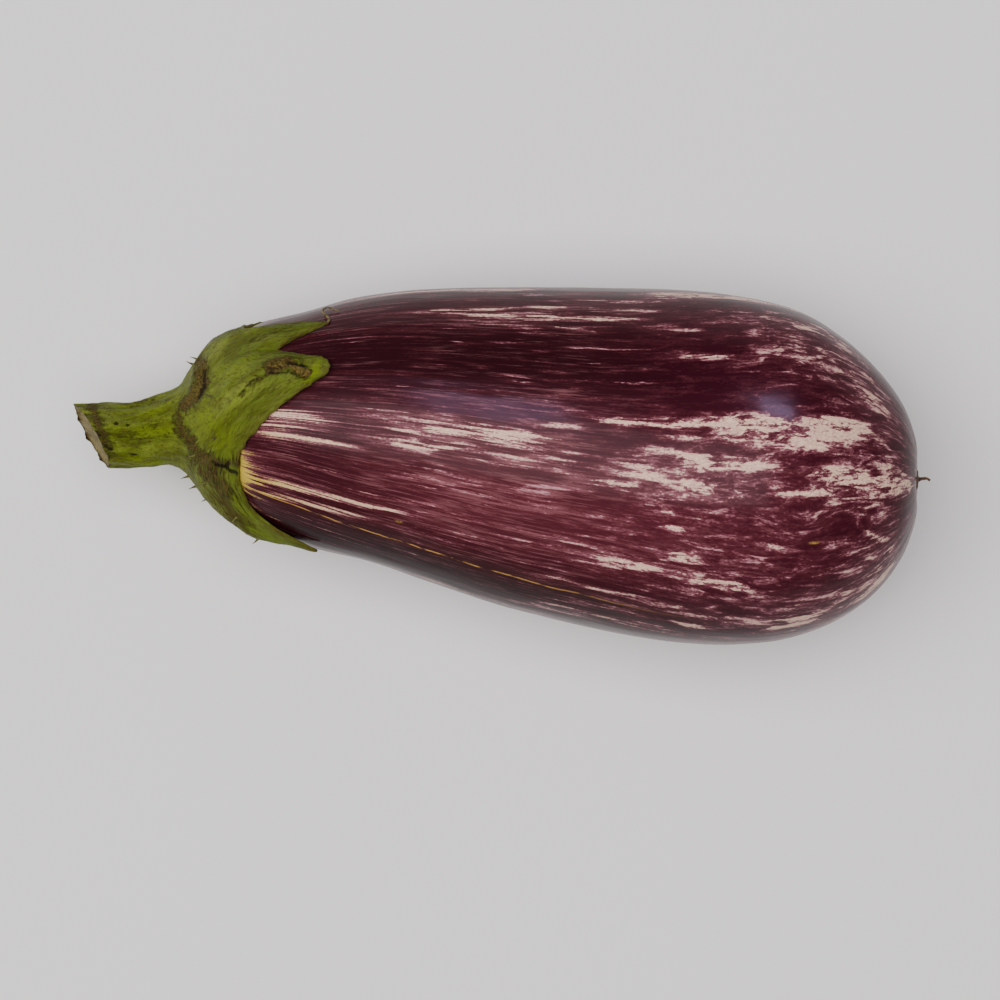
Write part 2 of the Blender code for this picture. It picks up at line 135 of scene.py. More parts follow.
# Thin flecks, finer than the mesh: angle, reach of the middle, half length and half width in mm
Fleck = namedtuple("Fleck", "angle reach half_length half_width")
FLECKS = tuple(Fleck(*values) for values in (
    (88.7, 120, 12, 0.5), (101.3, 128, 13, 0.5), (102.5, 147, 8, 0.5), (61.8, 142, 9, 0.5),
    (62.2, 153, 8, 0.4), (52, 109, 16, 0.4), (65, 116, 22, 0.35), (58, 106, 6, 0.3), (29.5, 38, 6, 0.4),
    (35, 50, 7, 0.4), (52.2, 51, 5, 0.3), (52, 70, 9, 0.35), (51, 86, 10, 0.4), (67.2, 91, 6, 0.35),
    (73.5, 64, 6, 0.3), (72.2, 71.5, 3, 0.35), (80.5, 61, 6, 0.35), (115, 148, 6, 0.6), (112.5, 141, 7, 0.45),
    (114, 45, 12, 0.4), (119.2, 56, 14, 0.4), (111.5, 73, 8, 0.35), (113.5, 85, 12, 0.5),
    (117.8, 93, 6, 0.45), (107.6, 111, 9, 0.45), (117.8, 112, 10, 0.5), (104.5, 72, 14, 0.4),
    (122.5, 72, 12, 0.5), (133, 38, 16, 0.45), (141, 36, 14, 0.5), (145, 42, 16, 0.4), (124, 38, 14, 0.4),
    (107, 44, 12, 0.3), (85.5, 38, 10, 0.35), (84, 60, 12, 0.35), (98, 84, 14, 0.45), (146, 70, 22, 0.5),
    (152, 56, 18, 0.45), (22, 166, 16, 0.6), (12, 168, 16, 0.6),
))
FLECK_STRENGTH = 0.86

# Small corky nicks, laid as the flecks are
NICKS = (Fleck(129.6, 66, 2, 0.7), Fleck(110.5, 160, 2, 0.5))

# A healed scratch that runs from the calyx along the lower side
SCRATCH_ANGLE = math.radians(140)
SCRATCH_START = 26
SCRATCH_END = 142
SCRATCH_SLOPE = -0.035
SCRATCH_RISE = 4
SCRATCH_FALL = 60
SCRATCH_HALF_WIDTH = 0.24

# The calyx and the stem, as in the CAD source
GAP = 0.3 * MM
HUB_REACH = 8 * MM
HUB_HEIGHT = 7.4 * MM
EDGE_THICKNESS = 1.3 * MM
FLARE_LENGTH = 12.5 * MM
MIDRIB_HEIGHT = 0.9 * MM
MIDRIB_WIDTH = 2.6 * MM
TIP_CURL = 1 * MM
Lobe = namedtuple("Lobe", "tip reach before after blunt notch notch_reach")
LOBES = (
    Lobe(42, 45 * MM, 6, 1.5, 0.6, 53, 34 * MM),
    Lobe(66, 46.5 * MM, 1.2, 2.1, 5, 121, 23.5 * MM),
    Lobe(161, 43.5 * MM, 3, 2.4, 0.8, 194, 25 * MM),
    Lobe(224, 36 * MM, 2.2, 2.4, 0.8, 250, 24 * MM),
    Lobe(277, 40 * MM, 2.4, 2.6, 0.8, 304, 25.5 * MM),
    Lobe(331, 35.5 * MM, 2.2, 2.4, 0.8, 362, 25 * MM),
)
STEM_LINE = MM * np.array(((-10.8, -0.8, 4.6), (-16, -2.3, 5.2), (-23, -3.3, 6), (-34, -4.4, 7.8)))
STEM_RADIUS = 7.2 * MM
STEM_FLARE = 3 * MM
STEM_FLARE_LENGTH = 4.2 * MM
STEM_RIBS = 5
RIB_SHARE = 0.045
CUT_POINT = np.array((-27.2, -3.8, 6.8)) * MM
CUT_NORMAL = np.array((-0.80, -0.56, 0.32))
CUT_NORMAL /= np.linalg.norm(CUT_NORMAL)

# The finer mesh of the calyx and the stem
FLANK_COLUMNS = 26
BLUNT_COLUMNS = 9  # across the end of a lobe that isn't pointed
BLUNT_DROP = 0.045  # how far the corners of such an end are rounded, as a share of its reach
BLUNT_FROM = 2  # degrees: a lobe whose end is wider than this isn't pointed
TIP_RISE = 1.012
STEM_ROWS = 34
LOBE_ROWS = 64
RIM_ROWS = 7
UNDER_ROWS = 14
CUT_ROWS = 9
FOOT_BLEND = 2.5 * MM
EDGE_THINNING = 0.45
EDGE_WAVE = 0.55 * MM  # how far the edge stands off the skin in places
SEAM_PASSES = 10
GRAIN_RADIUS = 11  # mm: the pattern is laid on a cylinder of this radius, near the hub's
GREEN_BUMP = 1.1 * MM

PRICKLE_PLACES = (
    (178, 0.08), (181, 0.2), (166, 0.7), (20, 0.3), (60, 0.34), (88, 0.5), (104, 0.3), (140, 0.45),
    (152, 0.62), (200, 0.4), (226, 0.3), (231, 0.62), (262, 0.35), (279, 0.6), (300, 0.4), (322, 0.5),
    (340, 0.3),
)
PRICKLE_LENGTH = 2.2 * MM
PRICKLE_RADIUS = 0.34 * MM
PRICKLE_SIDES = 8
PRICKLE_RINGS = 7
PRICKLE_SEED = 7

# The dried thread at a lobe's tip, in millimetres in the frame
WISP_LINE = (
    (-41.6, 25.0, 51.6), (-40.9, 25.9, 50.9), (-41.3, 26.8, 49.6), (-42.4, 27.6, 48.4), (-42.5, 28.6, 46.9),
    (-41.5, 29.1, 46.3), (-40.2, 28.7, 47.2), (-38.9, 28.5, 47.8),
)
WISP_RADII = (0.34, 0.13)
WISP_RINGS = 28
WISP_SIDES = 10

# The flower's remnant: the scar's profile (radius, height) and the style's line (along, aside, up), in mm
SCAR_PROFILE = ((2.3, 0), (2.4, 0.3), (2.3, 0.5), (1.9, 0.68), (1.2, 0.74), (0.55, 0.85))
STYLE_LINE = ((0.8, 0, 0), (1.9, 0.2, 0.1), (2.8, 0.2, 0.5), (3.3, -0.2, 0.9))
STYLE_RADII = ((0, 0.2, 0.8, 1), (0.55, 0.38, 0.26, 0.3))  # shares of its length, and radii there in mm
STYLE_RINGS = 20
SCAR_SIDES = 48
SCAR_RINGS = 14

# The stage. A light: its name, what it faces, the direction it stands in, its distance, its two
# sides, its watts, its tint, and whether it lights all or is only mirrored.
FLOOR_HALF_SIDE = 3
FLOOR_DROP = 0.2 * MM
WORLD_STRENGTH = 0.22
VIOLET = (0.66, 0.58, 1.0)
LIGHTS = (
    ("key", (0, 0.0095, 0.0705), (-0.392, 0.453, 0.80), 0.22, (0.035, 0.08), 0.20, VIOLET, False),
    ("second", (0.0598, 0.0144, 0.0765), (0.295, 0.701, 0.65), 0.3, (0.10, 0.045), 0.72, VIOLET, False),
    ("soft", (0, 0, 0.05), (-0.2, 0, 0.97), 1.4, (1.5, 1), 30, (1, 0.965, 1), True),
)


def ease(x):
    x = np.clip(x, 0, 1)
    return x * x * (3 - 2 * x)


def between(t, start, end, a, b):
    """The line from a at start to b at end, read at t."""
    return (end - t) / (end - start) * a + (t - start) / (end - start) * b


def smooth_curve(points, before=None, after=None, steps=20):
    """A dense curve through the points: a centripetal Catmull-Rom spline."""
    known = [np.array(p, float) for p in points]
    first = 2 * known[0] - known[1] if before is None else np.array(before, float)
    last = 2 * known[-1] - known[-2] if after is None else np.array(after, float)
    known = [first, *known, last]
    curve = []
    for p0, p1, p2, p3 in zip(known, known[1:], known[2:], known[3:]):
        t1 = np.linalg.norm(p1 - p0) ** 0.5
        t2 = t1 + np.linalg.norm(p2 - p1) ** 0.5
        t3 = t2 + np.linalg.norm(p3 - p2) ** 0.5
        for t in np.linspace(t1, t2, steps, endpoint=False):
            a1 = between(t, 0, t1, p0, p1)
            a2 = between(t, t1, t2, p1, p2)
            a3 = between(t, t2, t3, p2, p3)
            b1, b2 = between(t, 0, t2, a1, a2), between(t, t1, t3, a2, a3)
            curve.append(between(t, t1, t2, b1, b2))
    return np.array(curve + [known[-2]])


class Path:
    """A curve that is read by the distance along it, for one distance or an array of them."""

    def __init__(self, points):
        self.points = points
        steps = np.linalg.norm(np.diff(points, axis=0), axis=1)
        self.distance = np.concatenate([[0], np.cumsum(steps)])
        self.length = self.distance[-1]

    def at(self, distance):
        return np.stack([np.interp(distance, self.distance, c) for c in self.points.T], -1)

    def direction(self, distance, step=0.4 * MM):
        ahead = self.at(np.minimum(distance + step, self.length)) - self.at(np.maximum(distance - step, 0))
        return unit(ahead)


def unit(vectors):
    return vectors / np.maximum(np.linalg.norm(vectors, axis=-1, keepdims=True), 1e-12)


def meridian_path():
    points = [(a * FRUIT_LENGTH, r * BELLY_RADIUS) for a, r in MERIDIAN]
    before = (points[1][0], -points[1][1])
    after = (points[-2][0], -points[-2][1])
    return Path(smooth_curve(points, before, after))


CORE_PATH = Path(smooth_curve(CORE))
MERIDIAN_PATH = meridian_path()


def outward(along, angle):
    """The direction at this angle about a line that runs along this one."""
    sideways = unit(np.cross((0, 0, 1), along))
    upwards = np.cross(along, sideways)
    return sideways * np.cos(angle)[..., None] + upwards * np.sin(angle)[..., None]


def swell(axial, angle):
    """How far the fruit departs from round, as a share of its radius."""
    share = axial / FRUIT_LENGTH
    middle = np.sin(math.pi * np.clip(share, 0, 1)) ** 2
    far_end = np.maximum(0, share - 0.55) / 0.45
    return (
        0.012 * middle * np.cos(2 * angle + 0.5)
        + 0.006 * middle * np.cos(3 * angle - 1.1)
        + 0.010 * far_end * np.sin(4 * angle + 0.4)
    )


def skin(reach, angle, lift=0.0):
    """Points at these distances over the skin from the stem pole, raised from it by lift."""
    reach, angle, lift = np.broadcast_arrays(reach, angle, lift)
    section = MERIDIAN_PATH.at(reach)
    slope = MERIDIAN_PATH.direction(reach)
    axial = np.maximum(section[..., 0], 0)
    along = CORE_PATH.direction(axial)
    outwards = outward(along, angle)
    normal = outwards * slope[..., :1] - along * slope[..., 1:]
    radius = section[..., 1] * (1 + swell(axial, angle))
    return CORE_PATH.at(axial) + outwards * radius[..., None] + normal * lift[..., None]


def full_turn(count):
    """This many even angles round a circle."""
    return np.arange(count) * math.tau / count


def pitched(points):
    """The points turned as the fruit lies."""
    c, s = math.cos(REST_PITCH), math.sin(REST_PITCH)
    return points @ np.array(((c, 0, s), (0, 1, 0), (-s, 0, c))).T


def fractal(points, octaves=3):
    """Fractal noise at an array of points."""
    values = [noise.fractal(Vector(p), 1.0, 2.0, octaves) for p in points.reshape(-1, 3)]
    return np.array(values).reshape(points.shape[:-1])


def circle_of(angles):
    return np.stack([np.cos(angles), np.sin(angles), 0 * angles], -1)


def new_object(name, data):
    """An object with this data, in the scene."""
    obj = bpy.data.objects.new(name, data)
    bpy.context.scene.collection.objects.link(obj)
    return obj


def mesh_object(name, points, faces, material):
    mesh = bpy.data.meshes.new(name)
    mesh.from_pydata(points, [], faces)
    mesh.shade_smooth()
    mesh.materials.append(material)
    return new_object(name, mesh)


def grid_object(name, rows, first, last, fields, material):
    """A closed surface over a row of point rings, each closed round, with a point at either end.
    Fields are values per point that the material reads; their end values are the nearest ring's mean."""
    rings, sides = rows.shape[:2]
    points = np.concatenate([rows.reshape(-1, 3), [first], [last]])
    near = np.arange(rings - 1)[:, None] * sides + np.arange(sides)
    turned = np.roll(near, -1, axis=1)
    quads = np.stack([near, turned, turned + sides, near + sides], -1).reshape(-1, 4)
    end = (rings - 1) * sides
    around = np.arange(sides)
    beside = np.roll(around, -1)
    caps = [(rings * sides, b, a) for a, b in zip(around, beside)]
    caps += [(rings * sides + 1, end + a, end + b) for a, b in zip(around, beside)]
    obj = mesh_object(name, points.tolist(), quads.tolist() + caps, material)
    for key, values in fields.items():
        flat = values.reshape(rings * sides, -1)
        ends = [values[k].reshape(sides, -1).mean(0) for k in (0, -1)]
        flat = np.concatenate([flat, ends])
        vector = flat.shape[1] == 3
        layer = obj.data.attributes.new(key, "FLOAT_VECTOR" if vector else "FLOAT", "POINT")
        layer.data.foreach_set("vector" if vector else "value", flat.astype(np.float32).ravel())
    return obj


class Graph:
    """Builds a material's nodes. An input is a number, a tuple or the socket of another node."""

    def __init__(self, name):
        self.material = bpy.data.materials.new(name)
        self.material.use_nodes = True
        self.tree = self.material.node_tree
        self.shader = self.tree.nodes["Principled BSDF"]

    def feed(self, socket, value):
        if isinstance(value, bpy.types.NodeSocket):
            self.tree.links.new(value, socket)
        else:
            socket.default_value = value

    def add(self, kind, inputs=(), out=0, **settings):
        node = self.tree.nodes.new("ShaderNode" + kind)
        for key, value in settings.items():
            setattr(node, key, value)
        for place, value in dict(inputs).items():
            self.feed(node.inputs[place], value)
        return node.outputs[out]

    def field(self, name):
        return self.add("Attribute", out="Fac", attribute_name=name)

    def vector_field(self, name):
        return self.add("Attribute", out="Vector", attribute_name=name)

    def math(self, operation, a, b=0.0, c=0.0):
        return self.add("Math", {0: a, 1: b, 2: c}, operation=operation)

    def product(self, *values):
        result = values[0]
        for value in values[1:]:
            result = self.math("MULTIPLY", result, value)
        return result

    def total(self, *terms):
        """The sum of (value, weight) pairs."""
        result = 0.0
        for value, weight in terms:
            result = self.math("MULTIPLY_ADD", value, weight, result)
        return result

    def vector_math(self, operation, a, b=(0, 0, 0), out=0):
        return self.add("VectorMath", {0: a, 1: b}, out=out, operation=operation)

    def stretched(self, vector, steps, shift=0.0):
        """The vector in units of this many millimetres along each of its axes."""
        scaled = self.vector_math("MULTIPLY", vector, tuple(1 / s for s in steps))
        return self.vector_math("ADD", scaled, (shift, shift, shift)) if shift else scaled

    def noise(self, vector, steps, shift, detail=3.0, roughness=0.55, distortion=0.0, out="Fac"):
        """Noise whose features are about this many millimetres long on each axis."""
        vector = self.stretched(vector, steps, shift)
        inputs = {"Vector": vector, "Scale": 1.0, "Detail": detail, "Roughness": roughness}
        return self.add("TexNoise", {**inputs, "Distortion": distortion}, out=out)

    def step(self, value, low, high):
        """A smooth step of the value between low and high."""
        return self.add("MapRange", {0: value, 1: low, 2: high}, interpolation_type="SMOOTHSTEP")

    def blend(self, factor, a, b):
        return self.add("Mix", {0: factor, 2: a, 3: b}, data_type="FLOAT")

    def mix(self, factor, a, b):
        return self.add("Mix", {0: factor, 6: a, 7: b}, out=2, data_type="RGBA")

    def tinted(self, base, tint, amount, share):
        """The base colour turned towards the tint where the amount is high, by this share at most."""
        return self.mix(self.product(amount, share), base, colour(tint))

    def bump(self, height, distance, strength=1.0):
        normal = self.add("Bump", {"Strength": strength, "Distance": distance, "Height": height})
        self.feed(self.shader.inputs["Normal"], normal)

    def surface(self, **values):
        for key, value in values.items():
            self.feed(self.shader.inputs[key.replace("_", " ")], value)


def colour(code):
    """A hexadecimal sRGB colour as linear RGBA."""
    channels = [int(code[i:i + 2], 16) / 255 for i in (0, 2, 4)]
    return (*(c / 12.92 if c <= 0.04045 else ((c + 0.055) / 1.055) ** 2.4 for c in channels), 1.0)


def flow_angle(reach, angle):
    """The angle a streak through each point has at the belly: streaks spread towards both ends."""
    reach = reach / MM
    near = math.radians(9) * (1 - ease((reach - 28) / 32)) * np.sin(angle - math.radians(60))
    far = math.radians(28) * ease((reach - 105) / 100) * np.sin(angle - math.radians(100))
    dip = math.radians(2) * (np.exp(-((reach - 159) / 6) ** 2) - np.exp(-((reach - 170) / 7) ** 2))
    beside = np.exp(-((np.degrees(angle) - 106) / 5) ** 2)
    return angle + near - far - dip * beside


def turned_from(angle, degrees):
    """The signed difference of angles in radians from an angle in degrees."""
    return np.angle(np.exp(1j * (angle - np.radians(degrees))))


def band_density(reach, turn):
    """How much of the pigment is missing at each point, by the bands."""
    density = np.zeros_like(reach)
    radius = MERIDIAN_PATH.at(reach)[..., 1] / MM
    reach = reach / MM
    for band in BANDS:
        share = np.clip((reach - band.start) / (band.end - band.start), 0, 1)
        middle = band.angle + (band.end_angle - band.angle) * share
        across = turned_from(turn, middle) * np.maximum(radius, 12) / band.half_width
        beyond = np.maximum(np.maximum(band.start - reach, reach - band.end), 0) / 7
        taper = ease((reach - band.start + 7) / 18) * ease((band.end + 7 - reach) / 18)
        density = np.maximum(density, band.strength * np.exp(-across**2 * 0.6 - beyond**2) * taper)
    return density


def calyx_edge():
    """(angle, reach, nearness to a tip, midrib angle) in degrees and metres round the calyx's edge."""
    edge = []
    for last, lobe in zip((LOBES[-1], *LOBES), LOBES):
        notch = last.notch - 360 if last.notch > lobe.tip else last.notch
        blunt = lobe.blunt > BLUNT_FROM
        end = lobe.reach * (TIP_RISE - BLUNT_DROP) if blunt else lobe.reach
        rising = flank(notch, last.notch_reach, lobe.tip - lobe.blunt, end, lobe.before)
        falling = flank(lobe.notch, lobe.notch_reach, lobe.tip + lobe.blunt, end, lobe.after)
        places = np.linspace(-0.85, 0.85, BLUNT_COLUMNS) if blunt else np.zeros(1)
        tip = [
            (lobe.tip + lobe.blunt * x, lobe.reach * (TIP_RISE - BLUNT_DROP * abs(x) ** 2.5), 1.0)
            for x in places
        ]
        edge.extend((*point, lobe.tip) for point in (*rising, *tip, *falling[:0:-1]))
    return np.array(edge)


def flank(notch_angle, notch_reach, end_angle, end_reach, hollow):
    """(angle, reach, nearness to the tip) along a lobe's side, from its notch to its end."""
    near = 1 - (1 - np.arange(FLANK_COLUMNS) / (FLANK_COLUMNS - 1)) ** 1.6
    angle = notch_angle + (end_angle - notch_angle) * near
    return list(zip(angle, notch_reach + (end_reach - notch_reach) * near**hollow, near))


def fruit_fields(reach, angle):
    """What the skin's material reads at each point. The purple is darkest beyond the top, partly pigment and
    partly painted shade, warm on the near side, partly pigment and partly a painted broad reflection, and
    nearly black low on it, a painted shadow. Most pigment is missing in the bands and at the calyx's notches."""
    turn = flow_angle(reach, angle)
    mm = reach / MM
    flow = np.stack([np.cos(turn) * FLOW_RADIUS, np.sin(turn) * FLOW_RADIUS, mm + 0 * turn], -1)
    degrees = np.degrees(turned_from(angle, 90)) + 90
    hidden = 1 - ease((degrees + 5) / 20) * ease((175 - degrees) / 20)
    # dark: partly darker pigment and partly painted shade beyond the top
    dark = np.exp(-((degrees - 58) / 17) ** 2) * ease((mm - 30) / 20) * ease((165 - mm) / 40)
    # warm: partly warmer pigment and partly a painted broad reflection on the near side
    warm = np.exp(-((degrees - 112) / 30) ** 2) * ease((mm - 40) / 45) * ease((178 - mm) / 40)
    # low: painted shadow along the low flank of the near side
    low = np.exp(-((degrees - 160) / 22) ** 2) * ease((185 - mm) / 90)
    notches = np.zeros_like(turn)
    for lobe in LOBES:
        aside = turned_from(angle, lobe.notch)
        width = math.radians(min(17, 8 + abs(lobe.notch - lobe.tip) / 5))
        if lobe.notch != LOBES[0].notch:
            beyond = np.maximum(mm - lobe.notch_reach / MM, -1)
            notches = np.maximum(notches, np.exp(-(aside / width) ** 2 - np.maximum(beyond, 0) / 6.0))
    sparse = 0.16 * (1 - dark) + 0.12 * warm
    density = np.maximum(band_density(reach, turn), 1.5 * np.clip(notches, 0, 1))
    far = ease((mm - 95) / 45)
    yellow = notches * 1.25 + 0.75 * np.exp(-np.maximum(mm - 28, 0) / 16) * ease((degrees - 80) / 30)
    return {
        "flow": flow,
        "pale": density,
        "sparse": sparse * (1 - low) + 0.25 * hidden + 0.14 * far * (1 - dark),
        # the warm field carries the painted reflection and is lowered by the painted shade and shadow
        "warm": np.clip(0.30 + 0.62 * warm - 0.30 * dark - 0.40 * low + 0.1 * hidden, 0, 1),
        "yellow": np.clip(yellow, 0, 1),
        "smooth": 1 - ease((mm - 42) / 34),
        "far": far + 0 * turn,
        # painted shadow of the low flank
        "low": low,
    }


def flecks_at(g, place, flecks):
    """A value that is 1 in the middle of each fleck and falls to 0 at its edge."""
    total = 0.0
    for fleck in flecks:
        turn = math.radians(fleck.angle)
        middle = (math.cos(turn) * FLOW_RADIUS, math.sin(turn) * FLOW_RADIUS, fleck.reach)
        size = (fleck.half_width, fleck.half_width, fleck.half_length)
        from_middle = g.stretched(g.vector_math("SUBTRACT", place, middle), size)
        inside = g.math("SUBTRACT", 1.0, g.vector_math("LENGTH", from_middle, out="Value"))
        total = g.math("MAXIMUM", inside, total)
    return total


def skin_texture(g, flow, far):
    """The ragged pattern that decides where pigment is missing, with its grain and its patches."""
    ragged = g.noise(flow, (1, 1, 12), 0, 6, 0.63, 0.3)
    blotchy = g.noise(flow, (1.5, 1.5, 5.6), 17, 6, 0.64, 0.7)
    combed = g.noise(flow, (0.85, 0.85, 45), 7, 4, 0.62)
    grain = g.noise(flow, (0.36, 0.36, 0.8), 3, 3, 0.65)
    patches = g.noise(flow, (4, 4, 16), 11, 2, 0.5)
    coarse = g.blend(g.product(far, 0.75), ragged, blotchy)
    coarse = g.blend(g.field("smooth"), coarse, combed)
    return g.total((coarse, 0.70), (grain, 0.16), (patches, 0.14)), grain, patches


def wavering(g, flow):
    """The pattern's place moved a little to and fro, so that flecks aren't straight."""
    wobble = g.noise(flow, (2, 2, 6), 19, 3, 0.6, out="Color")
    moved = g.vector_math("MULTIPLY_ADD", wobble, (1.6, 1.6, 4))
    g.feed(moved.node.inputs[2], g.vector_math("ADD", flow, (-0.8, -0.8, -2)))
    return moved


def pigment(g, flow, far, patches, above):
    """The purple, from nearly black to warm, with faint pink where it is thin. The black low flank is painted
    shadow; the dark and warm tones are partly painted shade and a painted reflection.
    """
    specks = g.noise(flow, (0.5, 0.5, 2.2), 31, 6, 0.72)
    lines = g.noise(flow, (0.6, 0.6, 11), 37, 5, 0.68)
    ghost = g.blend(g.product(far, 0.7), lines, specks)
    ghost = g.step(g.total((ghost, 0.8), (patches, 0.2), (g.field("warm"), 0.10)), 0.545, 0.70)
    tone = g.noise(flow, (7, 7, 30), 23, 4, 0.55)
    # depth follows the warm field: partly pigment, partly painted reflection and painted shade
    depth = g.total((g.field("warm"), 1), (tone, 0.36), (1, -0.18))
    purple = g.mix(depth, colour("270b11"), colour("4e2028"))
    purple = g.tinted(purple, "36081a", far, 0.5)
    # painted shadow: the low flank turned towards near black
    purple = g.tinted(purple, "1a0508", g.field("low"), 0.7)
    purple = g.tinted(purple, "8a454c", g.step(above, -0.16, -0.03), 0.16)
    purple = g.tinted(purple, "a0686c", ghost, g.total((far, -0.2), (1, 0.36)))
    return g.tinted(purple, "a86a76", g.step(above, -0.06, -0.004), 0.36)


def pale_skin(g, grain, above):
    """The skin without its pigment: cream, pink at the streaks' edges and yellow at the calyx."""
    full = g.step(g.total((g.field("pale"), 0.13), (above, 1)), 0.05, 0.16)
    cream = g.mix(g.step(grain, 0.3, 0.7), colour("cca08e"), colour("ebcab0"))
    cream = g.mix(full, colour("b58288"), cream)
    return g.mix(g.field("yellow"), cream, colour("c2aa44"))


def scratch_line(g, flow):
    """1 on the healed scratch and 0 beside it, broken here and there."""
    tangent = (-math.sin(SCRATCH_ANGLE), math.cos(SCRATCH_ANGLE), SCRATCH_SLOPE)
    across = g.vector_math("DOT_PRODUCT", flow, tangent, out="Value")
    drift = g.noise(flow, (30, 30, 9), 5, 3)
    across = g.total((across, 1), (drift, 1.5), (1, -0.75 - SCRATCH_SLOPE * 62))
    along = g.add("SeparateXYZ", {0: flow}, out=2)
    outwards = (math.cos(SCRATCH_ANGLE), math.sin(SCRATCH_ANGLE), 0)
    facing = g.vector_math("DOT_PRODUCT", flow, outwards, out="Value")
    return g.product(
        g.step(g.math("ABSOLUTE", across), SCRATCH_HALF_WIDTH * 1.3, SCRATCH_HALF_WIDTH * 0.6),
        g.step(facing, 20, 30), g.step(along, SCRATCH_START, SCRATCH_START + SCRATCH_RISE),
        g.step(along, SCRATCH_END, SCRATCH_END - SCRATCH_FALL),
        g.step(g.noise(flow, (2, 2, 6), 41), 0.36, 0.5),
    )


def make_skin_material():
    """Purple pigment broken by pale streaks that follow the fruit, under a waxy gloss."""
    g = Graph("streaked_skin")
    flow = g.vector_field("flow")
    far = g.field("far")
    texture, grain, patches = skin_texture(g, flow, far)
    moved = wavering(g, flow)
    nicks = flecks_at(g, moved, NICKS)
    pale = g.math("MAXIMUM", g.field("pale"), g.product(flecks_at(g, moved, FLECKS), FLECK_STRENGTH))
    density = g.math("MAXIMUM", pale, g.field("sparse"))
    above = g.math("SUBTRACT", texture, g.math("MULTIPLY_ADD", density, -STREAK_PULL, STREAK_LEVEL))
    missing = g.step(above, -0.01, 0.024)
    base = g.mix(missing, pigment(g, flow, far, patches, above), pale_skin(g, grain, above))
    # painted shadow: the low flank darkened once more, over the pale streaks too
    base = g.tinted(base, "200a0c", g.field("low"), 0.42)
    base = g.tinted(base, "b98a45", scratch_line(g, flow), 0.85)
    corky = g.product(g.step(g.total((nicks, 0.3), (grain, 1)), 0.58, 0.72), g.step(nicks, 0, 0.3))
    base = g.mix(corky, base, g.mix(g.step(grain, 0.5, 0.62), colour("a88444"), colour("3e2410")))
    fine = g.noise(flow, (0.5, 0.5, 5), 51, 3, 0.6)
    g.bump(g.total((fine, 0.5), (missing, 0.25), (grain, 0.2)), SKIN_BUMP, 0.55)
    g.surface(
        Base_Color=base, Roughness=g.total((missing, 0.06), (grain, 0.08), (1, 0.2)), IOR=1.45,
        Specular_IOR_Level=0.055, Coat_Weight=0.03, Coat_Roughness=0.12,
    )
    return g.material


def make_fruit():
    """The fruit's fine skin, laid where the CAD fruit lies. Returns the shift that lays it there."""
    shares = (np.arange(SKIN_RINGS) + 1) / (SKIN_RINGS + 1)
    reaches = MERIDIAN_PATH.length * (shares - POLE_CROWDING * np.sin(math.tau * shares))
    angles = full_turn(SKIN_SIDES)
    reach, angle = np.meshgrid(reaches, angles, indexing="ij")
    plain = pitched(skin(reach, angle))
    low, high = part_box("fruit")
    own_low, own_high = plain.reshape(-1, 3).min(0), plain.reshape(-1, 3).max(0)
    shift = (np.array(low + high) - own_low - own_high) / 2
    shift[2] = high.z - own_high[2]

    fields = fruit_fields(reach, angle)
    ends = ease(reach / (12 * MM)) * ease((MERIDIAN_PATH.length - reach) / (12 * MM))
    lift = WAVE_HEIGHT * fractal(fields["flow"] * (0.045, 0.045, 0.03)) * ends
    lift += FLUTE_HEIGHT * fractal(fields["flow"] * (0.35, 0.35, 0.025) + 9, 2) * ends
    for dent in DENTS:
        aside = turned_from(angle, dent.angle) * MERIDIAN_PATH.at(reach)[..., 1] / dent.across
        lift -= dent.depth * np.exp(-(aside**2) - ((reach - dent.reach) / dent.along) ** 2)
    rows = pitched(skin(reach, angle, lift)) + shift
    rows[..., 2] = np.maximum(rows[..., 2], 0)
    poles = [pitched(skin(end, 0.0)) + shift for end in (0.0, MERIDIAN_PATH.length)]
    fruit = grid_object("fruit_skin", rows, *poles, fields, make_skin_material())
    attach(fruit, "root")
    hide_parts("fruit")
    return shift


def tip_curl(near, share):
    """How far a lobe's tip curls up."""
    return TIP_CURL * near**4 * ease((share - 0.8) / 0.2)


def calyx_lift(angle, edge, near, midrib, share):
    """Height over the skin of the calyx's outer side: the hub's flare, the midribs, a thin edge."""
    reach = HUB_REACH + (edge - HUB_REACH) * share
    flesh = (HUB_HEIGHT - EDGE_THICKNESS) * np.exp((HUB_REACH - reach) / FLARE_LENGTH)
    thinning = 1 - 0.85 * ease((share - 0.55) / 0.45)
    aside = turned_from(angle - midrib, 0) * MERIDIAN_PATH.at(reach)[..., 1]
    profile = ease(share * 2.5) * (1 - share**3)
    rib = MIDRIB_HEIGHT * np.exp(-((aside / MIDRIB_WIDTH) ** 2)) * profile
    return GAP + EDGE_THICKNESS + flesh * thinning + rib + tip_curl(near, share)


def calyx_points(hub, angle, edge, share, lift):
    """Points at a share of the way from the hub to the edge, raised from the skin."""
    around = hub + (angle - hub) * ease(share * 1.15)
    return skin(HUB_REACH + (edge - HUB_REACH) * share, around, lift)


def stem_line():
    foot = (skin(HUB_REACH, 0.0, HUB_HEIGHT + 2 * GAP) + skin(HUB_REACH, math.pi, HUB_HEIGHT + 2 * GAP)) / 2
    return Path(smooth_curve([foot, *STEM_LINE], before=foot + CORE_PATH.direction(0.0) * 5 * MM))


